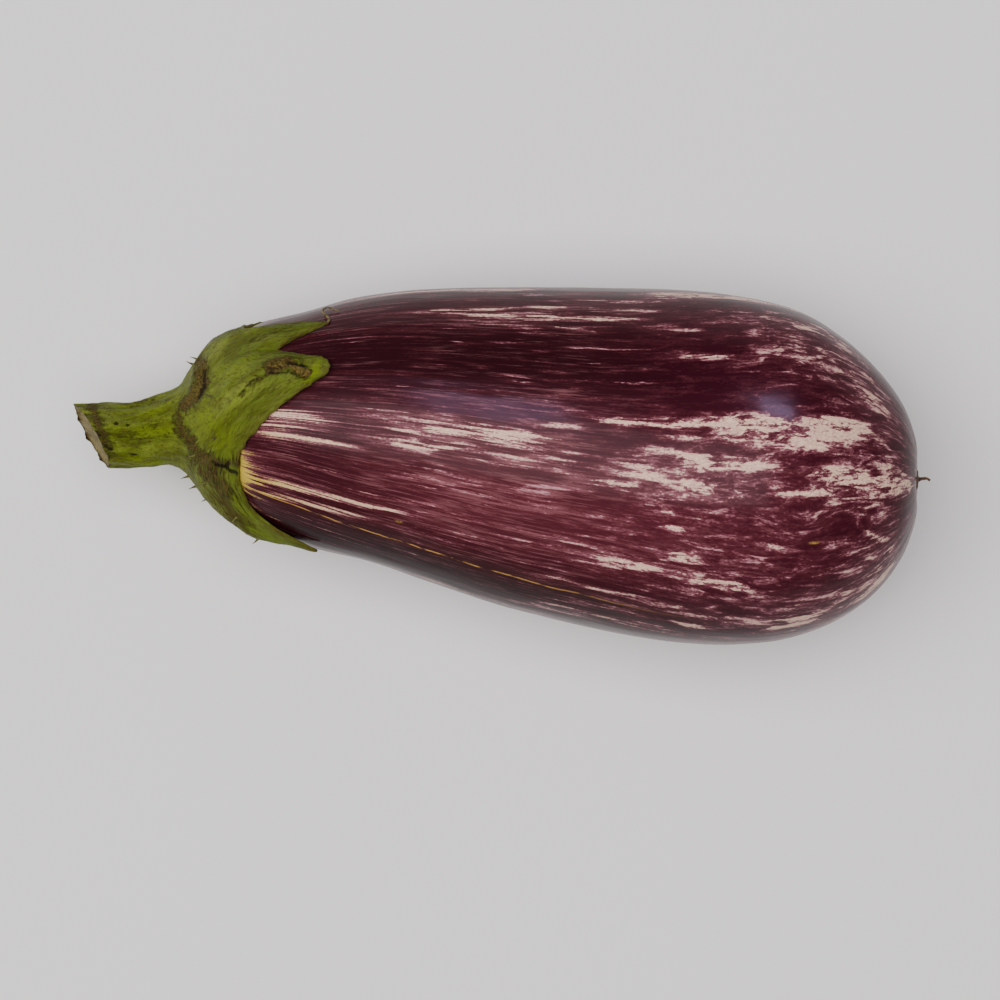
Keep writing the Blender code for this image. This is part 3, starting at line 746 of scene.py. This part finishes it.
def stem_rows(line, angles):
    """The stem's surface from the cut down to its foot, as rows of points."""
    far = line.direction(line.length * 0.8)
    start = line.points[0] + outward(-far, angles) * STEM_RADIUS
    lengths = (CUT_POINT - start) @ CUT_NORMAL / (far @ CUT_NORMAL)
    rows = []
    for k in range(STEM_ROWS, 0, -1):
        distance = lengths * k / STEM_ROWS
        ribs = RIB_SHARE * ease(distance / (3 * MM)) * np.cos(STEM_RIBS * angles + 0.7)
        radius = (STEM_RADIUS + STEM_FLARE * np.exp(-distance / STEM_FLARE_LENGTH)) * (1 + ribs)
        outwards = outward(-line.direction(distance), angles)
        rows.append(line.at(distance) + outwards * radius[:, None])
    start_ring = line.points[0] + outward(-line.direction(0.0), angles) * (STEM_RADIUS + STEM_FLARE)
    foot = skin(HUB_REACH, angles, HUB_HEIGHT + 2 * GAP) - start_ring
    rows = np.array(rows)
    distances = lengths * np.arange(STEM_ROWS, 0, -1)[:, None] / STEM_ROWS
    rows += foot * np.exp(-distances / FOOT_BLEND)[..., None]
    way = line.direction(lengths)
    rows[0] += way * ((CUT_POINT - rows[0]) @ CUT_NORMAL / (way @ CUT_NORMAL))[:, None]
    return rows


def near_line(points, line, width):
    """1 on a line through points given as (x, y) in millimetres, seen from above, fading over width."""
    place = points[..., :2] / MM
    best = np.full(place.shape[:-1], 1e9)
    for a, b in zip(line, line[1:]):
        a, b = np.array(a), np.array(b)
        span = max((b - a) @ (b - a), 1e-9)
        share = np.clip((place - a) @ (b - a) / span, 0, 1)
        best = np.minimum(best, np.linalg.norm(place - a - share[..., None] * (b - a), axis=-1))
    return np.exp(-((best / width) ** 2))


# Marks on the green parts, as (x, y) in millimetres seen from above, each with its width and strength. Some
# are painted shade and painted light.
# Corky brown scars; the wide marks on the lowest lobe are painted shade, coloured like cork
CORK_AND_SHADE_LINES = (
    (((-69.5, 13.7), (-68.4, 10), (-70, 6.5), (-72.4, 4)), 2.6, 1),
    (((-73.6, 1), (-73.1, -1), (-70.3, -4)), 2.4, 0.85),
    (((-70.3, -4), (-68.5, -6.5), (-63.5, -8.6)), 2, 0.95), (((-63.5, -8.6), (-58.5, -8.2)), 1.6, 0.8),
    # the first mark here, wide on the lowest lobe, is painted shade
    (((-68, -8), (-61.5, -14.5)), 3.6, 0.85), (((-52.5, 14), (-48.6, 15.2), (-44.6, 13.4)), 1.7, 1.15),
    (((-58.5, 7), (-53, 13)), 1, 0.75), (((-95, 2.5), (-92, -2), (-89.5, -7)), 1.8, 0.85),
    (((-87, -4.4), (-76, -3.4)), 1.2, 0.5), (((-86.5, 3.9), (-74.5, 5.2)), 1.6, 0.5),
    # the last mark here, wide on the lowest lobe, is painted shade
    (((-82, -1), (-79, -1.4)), 1.2, 0.5), (((-64, -16), (-57, -22)), 3.6, 0.72),
    (((-58, 20), (-47, 25)), 1.2, 0.5),
)
# Dark cracks and specks, and painted shade along a lobe's edge against the fruit, in the notch beside it and
# along folds
CRACK_AND_SHADE_LINES = (
    (((-58.4, 8), (-55.8, 11.5), (-51.9, 13.9), (-48, 15.6), (-44.6, 14.9)), 0.42, 1),
    (((-61, -1), (-60, 3.5), (-58.4, 8)), 0.35, 0.6),
    (((-52.4, 12.8), (-48.5, 13.4), (-44.6, 12.2)), 0.4, 0.9),
    (((-59.3, -15), (-56.5, -19), (-53.6, -23)), 0.4, 0.7),
    (((-68.6, 12), (-68.2, 8.4), (-69.4, 6)), 0.8, 0.95),
    (((-64.4, -9), (-61.4, -9.6), (-58.6, -10.8)), 0.6, 1.2), (((-61.4, -9.6), (-60.6, -7.8)), 0.5, 1),
    (((-88.2, -1.4), (-87.9, -1.5)), 0.5, 1.2), (((-85.6, -1.6), (-85.3, -1.6)), 0.5, 1.1),
    (((-83.9, -8.4), (-83, -8.5)), 0.45, 1), (((-90.2, -6.8), (-88.6, -7.6)), 0.6, 0.9),
)
# Painted light: lighter green where the stem and the calyx's bulges catch the light
PAINTED_LIGHT_LINES = (
    (((-66.5, 2), (-62.7, -3.1)), 4, 1), (((-43.6, 12.6), (-42, 15.6)), 1.6, 1.5),
    (((-86, -8.6), (-78, -9.6)), 1.4, 1), (((-66, 9), (-60, 15)), 2.4, 0.5),
    (((-88, -3.6), (-76, -1.8)), 1.8, 0.9), (((-88, 1.2), (-76, 2.6)), 1.8, 0.9),
)
FOLD_LINES = (
    (((-61.5, 3), (-59.6, 7), (-56.4, 11.6), (-52.6, 15.2), (-48, 17.4)), 1.5, 1),
    (((-62.5, 8), (-60, 14), (-54, 21)), 1.6, 0.7), (((-61, -15), (-55.6, -22.5)), 1.3, 0.7),
    (((-57, 6), (-52, 10.4), (-46, 11.4)), 1, 0.6), (((-70.6, 12), (-70.4, 8)), 1, 0.8),
)


def mark(points, lines, top):
    """The strength of the marks at each point, where it faces up."""
    total = np.zeros(points.shape[:-1])
    for line, width, strength in lines:
        total = np.maximum(total, near_line(points, line, width) * strength)
    return total * top


def leaf_green(g, veins, blotch, speck, crumbs):
    """The green of stem and calyx, with veins, speckles and brown edges, painted light where it bulges and
    painted shade in its dips.
    """
    green = g.mix(g.step(blotch, 0.36, 0.64), colour("596512"), colour("7e8c2c"))
    green = g.tinted(green, "4a5a14", g.field("outer"), 0.5)
    green = g.tinted(green, "80803a", g.step(veins, 0.45, 0.7), 0.35)
    # painted light on the stem and the calyx's bulges
    green = g.tinted(green, "728408", g.product(g.field("painted_light"), g.step(blotch, 0.3, 0.6)), 0.75)
    green = g.tinted(green, "564418", g.product(g.field("edge"), g.step(crumbs, 0.35, 0.6)), 0.65)
    specks = g.step(g.total((speck, 0.5), (crumbs, 0.5)), 0.51, 0.59)
    green = g.tinted(green, "2e2a0c", specks, 0.56)
    wash = g.step(g.total((crumbs, 0.6), (blotch, -0.4)), 0.08, 0.2)
    green = g.tinted(green, "6a541e", wash, 0.24)
    green = g.tinted(green, "a09c50", g.step(speck, 0.68, 0.76), 0.5)
    # painted shade: darker in the dips of the relief
    return g.tinted(green, "2c2c0a", g.field("hollow"), 0.32)


def cut_pith(g, place, crumbs):
    """The fibrous cut end, dark at its rim."""
    fibres = g.noise(place, (0.5, 0.5, 9), 33, 3, 0.6)
    fibrous = g.step(g.total((fibres, 0.5), (crumbs, 0.5)), 0.4, 0.6)
    pith = g.mix(fibrous, colour("5e4c20"), colour("b0a062"))
    return g.tinted(pith, "231507", g.field("scorched"), g.step(crumbs, 0.3, 0.55))


def make_green_material():
    """Leathery green skin with fine veins, dark speckles, corky brown scars and a cut end, with painted shade
    in folds, dips and on one lobe, and painted light on the stem.
    """
    g = Graph("green_rind")
    place = g.vector_field("place")
    veins = g.noise(place, (0.55, 0.55, 5), 0, 5, 0.62, 0.5)
    blotch = g.noise(place, (3, 3, 5), 5, 6, 0.66)
    speck = g.noise(place, (0.34, 0.34, 0.42), 13, 2, 0.6)
    crumbs = g.noise(place, (0.8, 0.8, 1.1), 23, 7, 0.74)
    # corky: brown scars, and painted shade on the lowest lobe
    corky = g.step(g.total((g.field("corky"), 0.46), (crumbs, 1)), 0.70, 0.94)
    cork = g.mix(g.step(speck, 0.38, 0.62), colour("70562c"), colour("352210"))
    rind = g.mix(g.product(corky, 0.82), leaf_green(g, veins, blotch, speck, crumbs), cork)
    # dark: cracks and specks, and painted shade in folds, at a notch and along a lobe's edge
    dark = g.step(g.total((g.field("dark"), 0.6), (crumbs, 0.7)), 0.62, 0.9)
    rind = g.tinted(rind, "1a1207", dark, 0.85)
    rind = g.mix(g.field("cut"), rind, cut_pith(g, place, crumbs))
    relief = g.total((veins, 0.5), (crumbs, 0.8), (speck, 0.3), (corky, 0.35), (dark, -0.5))
    g.bump(relief, GREEN_BUMP)
    roughness = g.total((corky, 0.25), (veins, 0.15), (1, 0.42))
    g.surface(Base_Color=rind, Roughness=roughness, IOR=1.4, Specular_IOR_Level=0.16)
    return g.material


def edge_stand(near, wave, share):
    """How far a lobe's edge stands off the skin: at its tip, and in waves along it."""
    return tip_curl(near, share) + wave * ease((share - 0.7) / 0.3)


def green_rows():
    """The stem and the calyx as rows of points: over the cut, down the stem, over the hub to the
    lobes' edge and back under them. Returns them with their columns' angles about the hub."""
    edge = calyx_edge()
    angle, reach, near, midrib = np.radians(edge[:, 0]), edge[:, 1], edge[:, 2], np.radians(edge[:, 3])
    hub = angle[0] + full_turn(len(edge))
    circle = circle_of(angle)
    reach = reach + (0.45 * fractal(circle * 8) + 0.5 * fractal(circle * 24 + 4)) * MM
    wave = EDGE_WAVE * np.maximum(fractal(circle * 5 + 9), 0) * (1 - near**2)
    line = stem_line()
    stem = stem_rows(line, hub)
    share = ((np.arange(LOBE_ROWS) / (LOBE_ROWS - 1)) ** 0.9)[:, None] + 0 * angle
    lift = calyx_lift(angle, reach, near, midrib, share) - tip_curl(near, share)
    thinned = 1 - EDGE_THINNING * ease((share - 0.8) / 0.2)
    lift = GAP + (lift - GAP) * thinned + edge_stand(near, wave, share)
    lobes = calyx_points(hub, angle, reach, share, lift)
    bottom = GAP + edge_stand(near, wave, 1.0)
    middle, half = (lift[-1] + bottom) / 2, (lift[-1] - bottom) / 2
    bends = math.pi * np.arange(1, RIM_ROWS) / RIM_ROWS
    rim = [skin(reach + half * 0.6 * math.sin(b), angle, middle + half * math.cos(b)) for b in bends]
    share = np.linspace(0.985, 0.1, UNDER_ROWS)[:, None] + 0 * angle
    under = calyx_points(hub, angle, reach, share, GAP + edge_stand(near, wave, share))
    middle = stem[0].mean(0)
    inward = np.linspace(0.1, 0.97, CUT_ROWS) ** 0.8
    cut = [middle + (stem[0] - middle) * s - CUT_NORMAL * 0.5 * MM * (1 - s**6) for s in inward]
    rows = np.concatenate([cut, stem, lobes, rim, under])
    seam = CUT_ROWS + STEM_ROWS
    for _ in range(SEAM_PASSES):
        window = rows[seam - 6:seam + 5]
        rows[seam - 5:seam + 4] = window[1:-1] * 0.5 + (window[:-2] + window[2:]) * 0.25
    return rows, hub


def green_relief(place, rows, corky, dark, fold):
    """Height of the fine relief in millimetres: veins, warts, the stem's ridges, cracks and folds."""
    seam = CUT_ROWS + STEM_ROWS
    height = 0.30 * fractal(place * (0.42, 0.42, 0.09)) + 0.16 * fractal(place * (0.9, 0.9, 0.35) + 5)
    height += 0.06 * fractal(place * 2.4 + 7, 2)
    turn = np.arctan2(place[..., 1], place[..., 0])
    ridges = 0.24 * np.cos(9 * turn + 1.6 * np.sin(place[..., 2] * 0.2)) + 0.12 * np.cos(17 * turn + 2)
    on_stem = np.zeros(len(rows))
    on_stem[CUT_ROWS:seam] = 1 - ease((np.arange(STEM_ROWS) / STEM_ROWS - 0.55) / 0.45)
    height += ridges * on_stem[:, None]
    height += 0.16 * corky * fractal(place * 1.8 + 3) - 0.5 * dark + 0.6 * fold
    height[:CUT_ROWS] = 0.16 * fractal(rows[:CUT_ROWS] * 700, 3)
    height[seam + LOBE_ROWS:] = 0
    return height


def grain_place(rows, hub):
    """Each point's place in the grain in millimetres: round the stem, and the way from the cut."""
    steps = np.linalg.norm(np.diff(rows, axis=0), axis=-1).mean(1)
    along = np.concatenate([[0], np.cumsum(steps)])[:, None] / MM
    around = np.cos(hub) * GRAIN_RADIUS, np.sin(hub) * GRAIN_RADIUS, along
    return np.stack(np.broadcast_arrays(*around), -1)


def outer_normals(rows):
    normals = unit(np.cross(np.roll(rows, -1, 1) - np.roll(rows, 1, 1), np.gradient(rows, axis=0)))
    probe = CUT_ROWS + 6
    inside_out = ((rows[probe] - rows[probe].mean(0)) * normals[probe]).sum() < 0
    return -normals if inside_out else normals


def region_fields(height):
    """Where the cut, the lobes' edges, the cut's dark rim, the lobes and the hollows are. The hollows carry
    painted shade.
    """
    is_cut, on_edge, scorched, outer = (np.zeros(height.shape) for _ in range(4))
    is_cut[:CUT_ROWS + 1] = 1
    scorched[CUT_ROWS - 2:CUT_ROWS + 1] = ((0.3,), (0.9,), (1.0,))
    lobe_end = CUT_ROWS + STEM_ROWS + LOBE_ROWS
    on_edge[lobe_end - 2:lobe_end + RIM_ROWS - 1] = 1
    outer[lobe_end - LOBE_ROWS:lobe_end] = ease((np.arange(LOBE_ROWS) / LOBE_ROWS - 0.3) / 0.4)[:, None]
    outer[lobe_end:] = 1
    # painted shade in the dips of the relief
    hollow = np.clip(-height * 2.2, 0, 1)
    hollow[:CUT_ROWS + 1] = 0
    return {"cut": is_cut, "edge": on_edge, "scorched": scorched, "outer": outer, "hollow": hollow}


def make_green(shift):
    """The stem and the calyx as one skin, with their marks."""
    rows, hub = green_rows()
    place, normals = grain_place(rows, hub), outer_normals(rows)
    laid = pitched(rows) + shift
    top = (pitched(normals)[..., 2] > 0.02) * 1.0
    top[:CUT_ROWS] = 0
    corky, dark, fold = (mark(laid, lines, top) for lines in (CORK_AND_SHADE_LINES, CRACK_AND_SHADE_LINES, FOLD_LINES))
    height = green_relief(place, rows, corky, np.minimum(dark, 1), fold)
    laid = pitched(rows + normals * (height * MM)[..., None]) + shift
    below_cut = slice(CUT_ROWS + 1, CUT_ROWS + 3)
    dark[below_cut] = np.maximum(dark[below_cut], 0.5)
    fields = {
        # painted light on the stem and the calyx's bulges
        "place": place, "corky": corky, "dark": dark, "painted_light": mark(laid, PAINTED_LIGHT_LINES, top),
        **region_fields(height),
    }
    last = pitched(skin(0.0, 0.0, GAP)) + shift
    material = make_green_material()
    green = grid_object("calyx_and_stem", laid, laid[0].mean(0), last, fields, material)
    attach(green, "root")
    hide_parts("calyx", "stem")


def tube(line, radii, sides, bumps=0.0):
    """Rings of a thin stalk along a line, with an uneven surface."""
    line = Path(smooth_curve(line))
    turns = full_turn(sides)
    rings = []
    for k, radius in enumerate(radii):
        distance = line.length * k / (len(radii) - 1)
        uneven = radius * (1 + bumps * np.sin(turns * 2 + k * 1.7) + bumps * np.cos(turns * 3 - k * 2.3))
        rings.append(line.at(distance) + outward(line.direction(distance), turns) * uneven[:, None])
    return np.array(rings)


def dry_material(name, light, dark, roughness):
    """Dried plant tissue: streaky, matt and crumbling."""
    g = Graph(name)
    place = g.add("TexCoord", out="Object")
    grain = g.noise(place, (0.5 * MM,) * 3, 0, 5, 0.7)
    g.bump(grain, 0.2 * MM, 0.7)
    g.surface(
        Base_Color=g.mix(g.step(grain, 0.36, 0.64), colour(dark), colour(light)),
        Roughness=g.total((grain, 0.2), (1, roughness)), Specular_IOR_Level=0.3,
    )
    return g.material


def prickle_rings(edge, hubs, degrees, share, draw):
    """Rings of a short curved prickle that stands on the calyx, leaning its own way."""
    angles = np.radians(edge[:, 0])
    k = int(np.argmin(np.abs(turned_from(angles, degrees))))
    _, reach, near, midrib = edge[k]
    lift = calyx_lift(angles[k], reach, near, math.radians(midrib), share)
    foot = calyx_points(hubs[k], angles[k], reach, share, lift - 0.5 * MM)
    out = unit(calyx_points(hubs[k], angles[k], reach, share, lift + MM) - foot)
    lean = np.array((draw.uniform(-0.6, 0.2), draw.uniform(-0.3, 0.3), draw.uniform(-0.3, 0.3)))
    length = PRICKLE_LENGTH * draw.uniform(0.75, 1.05)
    line = [foot + (out * t + lean * t * t * 0.7) * length for t in (0.0, 0.35, 0.7, 1.1)]
    radii = [PRICKLE_RADIUS * (1.25 - t) ** 1.3 for t in np.linspace(0, 1.05, PRICKLE_RINGS)]
    return tube(line, radii, PRICKLE_SIDES)


def prickle_faces(base):
    """The faces of one prickle whose points start at this number."""
    sides, last = PRICKLE_SIDES, base + (PRICKLE_RINGS - 1) * PRICKLE_SIDES
    faces = []
    for low in range(base, last, sides):
        for i in range(sides):
            j = (i + 1) % sides
            faces.append((low + i, low + j, low + sides + j, low + sides + i))
    faces.append(tuple(base + i for i in range(sides))[::-1])
    faces.append(tuple(last + i for i in range(sides)))
    return faces


def make_prickles(shift):
    draw = random.Random(PRICKLE_SEED)
    edge = calyx_edge()
    hubs = math.radians(edge[0, 0]) + full_turn(len(edge))
    points, faces = [], []
    for degrees, share in PRICKLE_PLACES:
        faces.extend(prickle_faces(len(points)))
        rings = pitched(prickle_rings(edge, hubs, degrees, share, draw)) + shift
        points.extend(rings.reshape(-1, 3).tolist())
    material = dry_material("prickle_horn", "6b6a26", "2e2a10", 0.5)
    prickles = mesh_object("prickles", points, faces, material)
    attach(prickles, "root")


def make_wisp():
    """The dried thread that a lobe's tip ends in, curled on the skin."""
    radii = np.linspace(*WISP_RADII, WISP_RINGS) * MM
    rings = tube(np.array(WISP_LINE) * MM, radii, WISP_SIDES, 0.12)
    material = dry_material("dry_thread", "80703c", "3c2e18", 0.6)
    wisp = grid_object("dried_tip", rings, rings[0].mean(0), rings[-1].mean(0), {}, material)
    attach(wisp, "root")


def make_remnant(shift):
    """The cracked corky scar in the dimple of the flower end, and the dried style that hooks out of it."""
    pole = skin(MERIDIAN_PATH.length, 0.0, GAP)
    axis = CORE_PATH.direction(CORE_PATH.length)
    turns = full_turn(SCAR_SIDES)
    out = outward(axis, turns)
    circle = circle_of(turns)
    ragged = 1 + 0.10 * fractal(circle * 2.5) + 0.05 * fractal(circle * 8)
    profile = Path(smooth_curve([np.array(p) * MM for p in SCAR_PROFILE]))
    rings = []
    for distance in np.linspace(0, profile.length, SCAR_RINGS):
        radius, height = profile.at(distance)
        share = radius / (SCAR_PROFILE[1][0] * MM)
        cracks = 0.12 * MM * share * np.cos(turns * 5 + 6 * fractal(circle * 1.5)) ** 8
        warts = 0.1 * MM * fractal(circle * (3 * share) + distance / MM)
        raised = axis * (height - cracks + warts * share)[:, None]
        rings.append(pole + raised + out * (radius * ragged)[:, None])
    frame_axes = np.array([axis, outward(axis, np.array(0.0)), outward(axis, np.array(math.pi / 2))])
    line = [pole + np.array(p) * MM @ frame_axes for p in STYLE_LINE]
    radii = np.interp(np.linspace(0, 1, STYLE_RINGS), *STYLE_RADII) * MM
    style = tube(line, radii, SCAR_SIDES, 0.08)
    rows = pitched(np.concatenate([rings, style])) + shift
    material = dry_material("dry_flower", "7a5a3a", "1c110a", 0.65)
    first, last = pitched(pole) + shift, rows[-1].mean(0)
    remnant = grid_object("flower_scar_and_style", rows, first, last, {}, material)
    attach(remnant, "root")
    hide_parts("flower_remnant")


def make_floor():
    side = FLOOR_HALF_SIDE
    corners = [(-side, -side, 0), (side, -side, 0), (side, side, 0), (-side, side, 0)]
    g = Graph("pale_floor")
    g.surface(Base_Color=colour("f4f3f0"), Roughness=0.95)
    floor = mesh_object("floor", corners, [(0, 1, 2, 3)], g.material)
    floor.location.z = -FLOOR_DROP


def add_light(name, target, direction, distance, size, watts, tint, lights_all):
    """A soft light that faces the target from this direction, its first side along the fruit."""
    light = bpy.data.lights.new(name, "AREA")
    light.shape = "RECTANGLE"
    light.size, light.size_y = size
    light.energy = watts
    light.color = tint
    obj = new_object(name, light)
    way = Vector(direction).normalized()
    aside = way.cross((1, 0, 0)).normalized()
    obj.location = Vector(target) + way * distance
    obj.rotation_euler = Matrix((aside.cross(way), aside, way)).transposed().to_euler()
    obj.visible_camera = False
    obj.visible_diffuse = lights_all


def make_stage():
    make_floor()
    world = bpy.data.worlds.new("studio")
    world.use_nodes = True
    inputs = world.node_tree.nodes["Background"].inputs
    inputs["Color"].default_value = (1, 1, 1, 1)
    inputs["Strength"].default_value = WORLD_STRENGTH
    bpy.context.scene.world = world
    for light in LIGHTS:
        add_light(*light)


def make_camera():
    data = bpy.data.cameras.new("camera")
    data.lens = CAMERA_LENS
    data.sensor_width = CAMERA_SENSOR
    camera = new_object("camera", data)
    camera.location = CAMERA_PLACE
    camera.rotation_euler = (0, 0, CAMERA_ROLL)
    bpy.context.scene.camera = camera


make_camera()
make_stage()
shift = make_fruit()
make_green(shift)
make_prickles(shift)
make_wisp()
make_remnant(shift)
